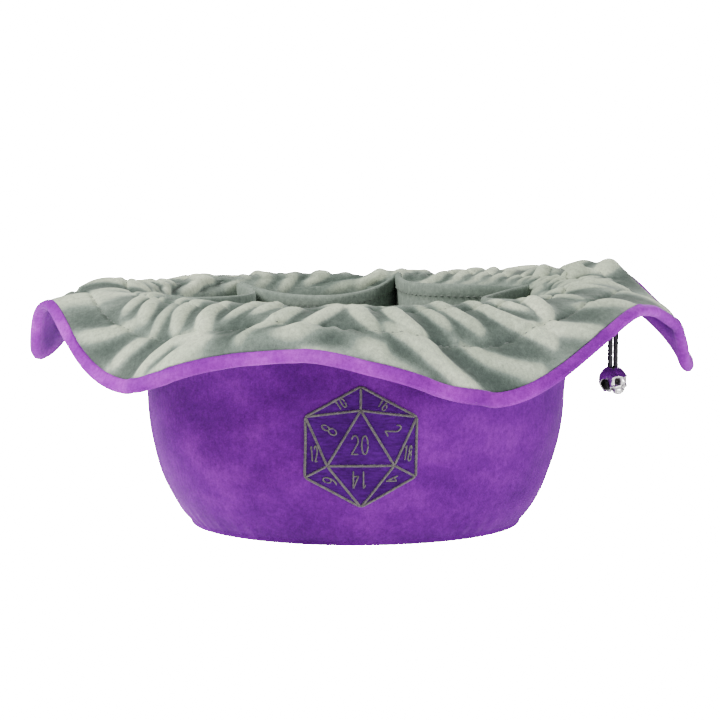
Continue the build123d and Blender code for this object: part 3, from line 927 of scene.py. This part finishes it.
inner_share = 0.61
lines = [(corner(1, a), corner(1, a + 60)) for a in range(30, 390, 60)]
for a in (90, 210, 330):
    lines += [(corner(inner_share, a), corner(inner_share, a + 120))]
    lines += [(corner(inner_share, a), corner(1, a + turn)) for turn in (-60, 0, 60)]


def oval(x, y, wide, high, start=0, stop=360):
    """Stroke round part of an oval, by its centre, half sizes and angles."""
    angle = np.radians(np.linspace(start, stop, 26))
    return np.stack([x + wide * np.cos(angle), y + high * np.sin(angle)], axis=1)


digits = {
    "0": [oval(0.3, 0.5, 0.25, 0.5)],
    "1": [[(0.12, 0.80), (0.32, 1.0), (0.32, 0.0)]],
    "2": [np.concatenate([oval(0.29, 0.72, 0.25, 0.28, 170, -35), [(0.02, 0.0), (0.58, 0.0)]])],
    "4": [[(0.46, 0.0), (0.46, 1.0), (0.0, 0.32), (0.6, 0.32)]],
    "6": [oval(0.3, 0.28, 0.26, 0.28), oval(0.56, 0.28, 0.52, 0.72, 95, 180)],
    "8": [oval(0.3, 0.75, 0.2, 0.25), oval(0.3, 0.26, 0.26, 0.26)],
}
# text, place in millimetres from the badge's middle, the way its top points, its height and its width
numerals = [
    ("20", -0.3, 1.0, 90, 6.8, 0.78), ("8", -11.5, 6.4, 150, 5.9, 0.8), ("2", 11.7, 6.4, 28, 5.6, 0.85),
    ("14", -0.5, -11.8, 270, 6.5, 0.72), ("10", -7.2, 15.8, 122, 3.8, 0.8), ("16", 8.0, 15.8, 58, 3.8, 0.8),
    ("12", -16.8, -2.4, 96, 5.6, 0.42), ("18", 16.9, -2.2, 84, 5.6, 0.42), ("6", -11.0, -12.4, 340, 5.2, 0.8),
    ("4", 11.6, -12.0, 205, 4.8, 0.8),
]
digit_advance = 0.78
strokes = []
for text, x, z, top, high, wide in numerals:
    up_way = np.array([cos(radians(top)), sin(radians(top))])
    right_way = np.array([up_way[1], -up_way[0]])
    for place, digit in enumerate(text):
        shift = (place - (len(text) - 1) / 2) * digit_advance
        for stroke in digits[digit]:
            stroke = np.asarray(stroke, float) - (0.3, 0.5)
            run = (stroke[:, :1] + shift) * wide * high * 0.85 * right_way + stroke[:, 1:] * high * up_way
            strokes.append(satin_ridge(run + (x, z), 0.58, 0.36, 0.45))
line_ridges = [satin_ridge(line, 0.92, 0.5) for line in lines]
add_piece("badge_lines", join_strips("badge_lines", line_ridges), badge_thread, "bag",
          ["d20_line_stitch"])
add_piece("badge_numerals", join_strips("badge_numerals", strokes), badge_thread, "bag")
field_across, field_up = np.meshgrid(np.linspace(-1, 1, 150), np.linspace(-0.995, 0.995, 170), indexing="ij")
field_wide = badge_wide * cos(pi / 6) * np.clip((1 - np.abs(field_up)) / 0.5, 0, 1)
field_edge = step(0, 0.03, 1 - np.abs(field_across)) * step(0, 0.02, 0.995 - np.abs(field_up))
field_rows = 0.05 * np.sin(field_up * badge_up * tau / 0.8) * np.sin(field_across * 90 + field_up * 40)
field_x, field_z = field_across * field_wide, field_up * badge_up
field_top = badge_surface(field_x, field_z, -0.15 + (0.45 + field_rows) * field_edge)
field_back = badge_surface(field_x, field_z, -0.25 + 0 * field_edge)
add_piece("badge_field", strip_shell("badge_field", field_top, field_back), badge_field, "bag",
          ["d20_fill_stitch"])

# %% [markdown]
# The drawcord is a round braid. Its ring in the casing follows the brim, and its two ends come out
# together through a stitched hole under the brim and hang straight down, because they are pulled by
# the bead. The plaiting is two sets of ridges that wind round the cord in opposite ways.

# %% Drawcord
exit_low, exit_high = node_box("exit_buttonhole")
exit_middle = (exit_low + exit_high) / 2
knot_low, knot_high = node_box("end_knot")
strand_radius = 1.0
loop_column = int(np.argmin(np.abs(brim_shares - 0.38)))
loop_line = brim_side(0 * share_grid)[:, loop_column]
add_piece("drawcord_loop", tube("drawcord_loop", loop_line[::3], strand_radius * 0.95, 12, True), black_cord,
          "bag", ["drawstring_loop"])


def braid_radius(length, rings, sides, radius):
    """Radius of a braid: ridges that wind both ways, and where they cross the higher one shows."""
    run = np.linspace(0, length, rings)[:, None]
    turn = np.linspace(0, tau, sides, endpoint=False)[None]
    left = np.cos(6 * turn + run * tau / 2.6)
    right = np.cos(6 * turn - run * tau / 2.6)
    return radius * (0.965 + 0.075 * np.maximum(left, right))


strand_top_height, strand_foot = exit_middle[2] + 0.3, knot_high[2] - 2.8
strand_rings, strand_sides = 260, 24
braid = braid_radius(strand_top_height - strand_foot, strand_rings, strand_sides, strand_radius)
for side, node in ((-1, "cord_strand_a"), (1, "cord_strand_b")):
    low, high = node_box(node)
    middle_x = (low[0] + high[0]) / 2
    levels = np.linspace(strand_top_height, strand_foot, strand_rings)
    drift = 0.05 * np.sin((strand_top_height - levels) / 5)
    path = np.stack([middle_x + drift, exit_middle[1] + 0.10 * np.cos(levels / 4 + side), levels], axis=1)
    name = node + "_braid"
    strand = add_piece(name, tube(name, path, braid, strand_sides), black_cord, None, [node])
    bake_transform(strand)

# %% [markdown]
# The knot is the cord wound round itself, so it is a closed knotted line, three lobes that pass over
# and under each other, swept as a round cord and drawn out to the knot's height.

# %% Knot
knot_middle = (knot_low + knot_high) / 2
knot_turn = np.linspace(0, tau, 300, endpoint=False)
knot_line = np.stack([np.sin(knot_turn) + 2 * np.sin(2 * knot_turn),
                      np.cos(knot_turn) - 2 * np.cos(2 * knot_turn), -np.sin(3 * knot_turn) * 1.6], axis=1)
knot_path = knot_line * 0.62 * [1, 1, 1.25] + knot_middle
cord_knot = add_piece("cord_knot", tube("cord_knot", knot_path, 1.05, 16, True), black_cord, "cord_end",
                      ["end_knot"])

# %% [markdown]
# The bead is a cast skull. Its outside is one surface about its middle: the distance to the middle is
# that of an egg shape, plus hills for the brows and cheeks, minus hollows for the eyes, nose, temples
# and the gaps between the teeth. The bore for the cord and the two side holes are cut through it.

# %% Skull bead
bead_low, bead_high = node_box("skull_bead")
bead_middle = (bead_low + bead_high) / 2
bead_half = (bead_high - bead_low) / 2
face_way = radians(-45)


def on_bead_axis(height):
    """Point of the bead's upright axis."""
    return np.array([bead_middle[0], bead_middle[1], height])


bead_centre = on_bead_axis(bead_low[2] + 8.0)


def skull_offset(side, rise):
    """Hills and hollows at an angle to the side of the nose and an angle above the middle, in degrees.

    Each is its height times e to the minus the sum of the squares, or of higher powers where its floor
    is flat, of the distance to its middle over its half width."""
    both = np.abs(side)
    eye = -1.5 * np.exp(-(((both - 27) / 13.5) ** 4 + ((rise + 2) / 15) ** 4) ** 0.9)
    brow = 0.55 * np.exp(-(((both - 26) / 20) ** 2 + ((rise - 17) / 7) ** 2))
    cheek = 0.55 * np.exp(-(((both - 40) / 13) ** 2 + ((rise + 24) / 8) ** 2))
    nose = -0.9 * np.exp(-((side / (3.5 + 0.22 * np.clip(-rise - 10, 0, 20))) ** 2 + ((rise + 22) / 8) ** 4))
    bridge = 0.3 * np.exp(-((side / 5) ** 2 + ((rise + 4) / 9) ** 2))
    temple = -0.55 * np.exp(-(((both - 72) / 16) ** 2 + ((rise - 2) / 18) ** 2))
    hollow_cheek = -0.85 * np.exp(-(((both - 52) / 15) ** 2 + ((rise + 42) / 10) ** 2))
    mouth = np.exp(-((rise + 43) / 8.0) ** 4) * np.exp(-(side / 40) ** 6)
    bite = 0.5 * np.exp(-(((rise + 43) / 1.6) ** 2))
    teeth = mouth * (0.42 + 0.26 * np.abs(np.cos(side * pi / 13)) ** 0.5 - bite)
    suture = -0.12 * np.exp(-((side + 2.5 * np.sin(rise / 4)) / 2) ** 2) * step(25, 45, rise)
    return eye + brow + cheek + nose + bridge + temple + hollow_cheek + teeth + suture


def skull_point(turn, rise):
    """Egg shape with the hills and hollows added along the way out from the middle."""
    side = (np.degrees(turn - face_way) + 180) % 360 - 180
    front = np.cos(np.radians(side))
    narrow = 1 - 0.24 * step(-8, -60, np.degrees(rise)) * (1 - 0.25 * np.clip(front, 0, 1))
    half_out = (bead_half[0] - 0.25) * (0.93 + 0.07 * np.abs(front)) * narrow
    up_half = np.where(rise > 0, bead_high[2] - bead_centre[2] + 0.15, bead_centre[2] - bead_low[2] + 0.3)
    egg = 1 / np.sqrt((np.cos(rise) / half_out) ** 2 + (np.sin(rise) / up_half) ** 2)
    egg = egg + skull_offset(side, np.degrees(rise)) * np.cos(rise) ** 0.5
    return bead_centre + np.stack([egg * np.cos(rise) * np.cos(turn), egg * np.cos(rise) * np.sin(turn),
                                   egg * np.sin(rise)], axis=-1)


rise_grid, around_grid = np.meshgrid(np.radians(np.linspace(-89, 89, 150)),
                                     np.linspace(0, tau, 220, endpoint=False), indexing="ij")
skull_mesh = strip_mesh("skull_bead_cast", skull_point(around_grid, rise_grid))
bead = add_piece("skull_bead_cast", skull_mesh, antique_silver, "bead", ["skull_bead"])


def bore_cutter(name, start, end, radius):
    """Round bar that a bore is cut with, closed at both ends."""
    path = np.linspace(start, end, 12)
    piece = bpy.data.objects.new(name, tube(name, path, radius, 40))
    bpy.context.scene.collection.objects.link(piece)
    return piece


ear_way = np.array([-sin(face_way), cos(face_way), 0])
ear_middle = on_bead_axis(bead_low[2] + 6.4)
cutters = [
    bore_cutter("crown_cutter", on_bead_axis(bead_low[2]), on_bead_axis(bead_high[2] + 3), 2.35),
    bore_cutter("knot_cutter", on_bead_axis(bead_low[2] - 2), on_bead_axis(bead_low[2] + 9.4), 3.5),
    bore_cutter("ear_cutter", ear_middle - 9 * ear_way, ear_middle + 9 * ear_way, 2.3),
]
for cutter in cutters:
    cut = bead.modifiers.new(cutter.name, "BOOLEAN")
    cut.operation, cut.solver, cut.object = "DIFFERENCE", "EXACT", cutter
bpy.context.view_layer.update()
cast = bpy.data.meshes.new_from_object(bead.evaluated_get(bpy.context.evaluated_depsgraph_get()))
bead.modifiers.clear()
bead.data = cast
for cutter in cutters:
    bpy.data.objects.remove(cutter)
cast_points = np.zeros(len(cast.vertices) * 3)
cast.vertices.foreach_get("co", cast_points)
arms = cast_points.reshape(-1, 3) / MM - bead_centre
distance = np.linalg.norm(arms, axis=1)
cast_rise = np.arcsin(np.clip(arms[:, 2] / distance, -1, 1))
cast_side = (np.degrees(np.arctan2(arms[:, 1], arms[:, 0]) - face_way) + 180) % 360 - 180
lowness = np.clip(-skull_offset(cast_side, np.degrees(cast_rise)) / 1.3, 0, 1)
cast_skin = skull_point(np.arctan2(arms[:, 1], arms[:, 0]), cast_rise)
skin_gap = np.linalg.norm(cast_skin - bead_centre, axis=1) - distance
hollow = np.clip(lowness + np.where(skin_gap > 0.15, 0.9, 0), 0, 1)
write_values(cast, "hollow", hollow)
print("bead", len(cast.vertices), "points")

# %% [markdown]
# The hole that the cord comes out of is worked round with buttonhole stitch: a ring of thread on the
# purple side, with a ripple for each stitch.

# %% Buttonhole
ring_turn = np.linspace(0, tau, 160, endpoint=False)
ring_radius = (exit_high[0] - exit_low[0]) / 2 - 0.4
ring_path = exit_middle + round_points(ring_radius, ring_turn, -0.4)
ring_size = (0.62 + 0.10 * np.cos(ring_turn * 28))[:, None] * np.ones(12)
add_piece("buttonhole", tube("buttonhole", ring_path, ring_size, 12, True), purple_thread, "bag",
          ["exit_buttonhole"])

# %% [markdown]

# %% [markdown]
# The bag stands on a plain pale floor, in the light of four square lamps: a strong one high at the
# left, two weaker ones at the right and one behind. The floor and the world glow for the camera's own
# rays, so that they read as white, and light the bag only weakly.

# %% Floor and light


def camera_glow(nodes, links, strength, dim, bright):
    """Sets a strength that is bright for the camera's own rays and dim for all others."""
    glow = nodes.new("ShaderNodeMapRange")
    glow.inputs["To Min"].default_value, glow.inputs["To Max"].default_value = dim, bright
    links.new(nodes.new("ShaderNodeLightPath").outputs["Is Camera Ray"], glow.inputs["Value"])
    links.new(glow.outputs["Result"], strength)


def stage_floor():
    """Large pale disc, 5 mm thick, with its top at the bag's foot."""
    reach, turn = np.meshgrid(np.linspace(0.5, 3000, 40), np.linspace(0, tau, 96, endpoint=False),
                              indexing="ij")
    points = round_points(reach, turn, 0.0)
    pale = Finish("floor", (0.9, 0.9, 0.9), 0.9, specular=0.0)
    pale.main["Emission Color"].default_value = (1, 1, 1, 1)
    camera_glow(pale.nodes, pale.links, pale.main["Emission Strength"], 0.75, 38.0)
    grid = np.concatenate([points, points[::-1] + [0, 0, -5]], axis=0)
    piece = bpy.data.objects.new("floor", strip_mesh("floor", grid))
    piece.data.materials.append(pale.material)
    bpy.context.scene.collection.objects.link(piece)


def soft_lamp(name, place, aim, size, watts, colour=(1, 1, 1)):
    """Square soft lamp that points at a place."""
    data = bpy.data.lights.new(name, "AREA")
    data.shape, data.size, data.energy, data.color = "SQUARE", size, watts, colour
    lamp = bpy.data.objects.new(name, data)
    lamp.location = place
    lamp.rotation_euler = (Vector(aim) - Vector(place)).to_track_quat("-Z", "Y").to_euler()
    bpy.context.scene.collection.objects.link(lamp)


stage_floor()
soft_lamp("key_lamp", (-0.85, -0.35, 0.85), (0, 0, 0.07), 0.35, 25, (1.0, 0.985, 0.955))
soft_lamp("front_lamp", (1.15, -1.0, 0.14), (0, 0, 0.03), 0.45, 14)
soft_lamp("right_lamp", (1.3, -0.5, 0.5), (0, 0, 0.05), 0.45, 7)
soft_lamp("back_lamp", (0.35, 1.2, 0.8), (0, 0, 0.08), 0.6, 9)
world = bpy.data.worlds.new("studio")
world.use_nodes = True
background = world.node_tree.nodes["Background"].inputs
camera_glow(world.node_tree.nodes, world.node_tree.links, background["Strength"], 0.30, 40.0)
background["Color"].default_value = (1, 1, 1, 1)
bpy.context.scene.world = world
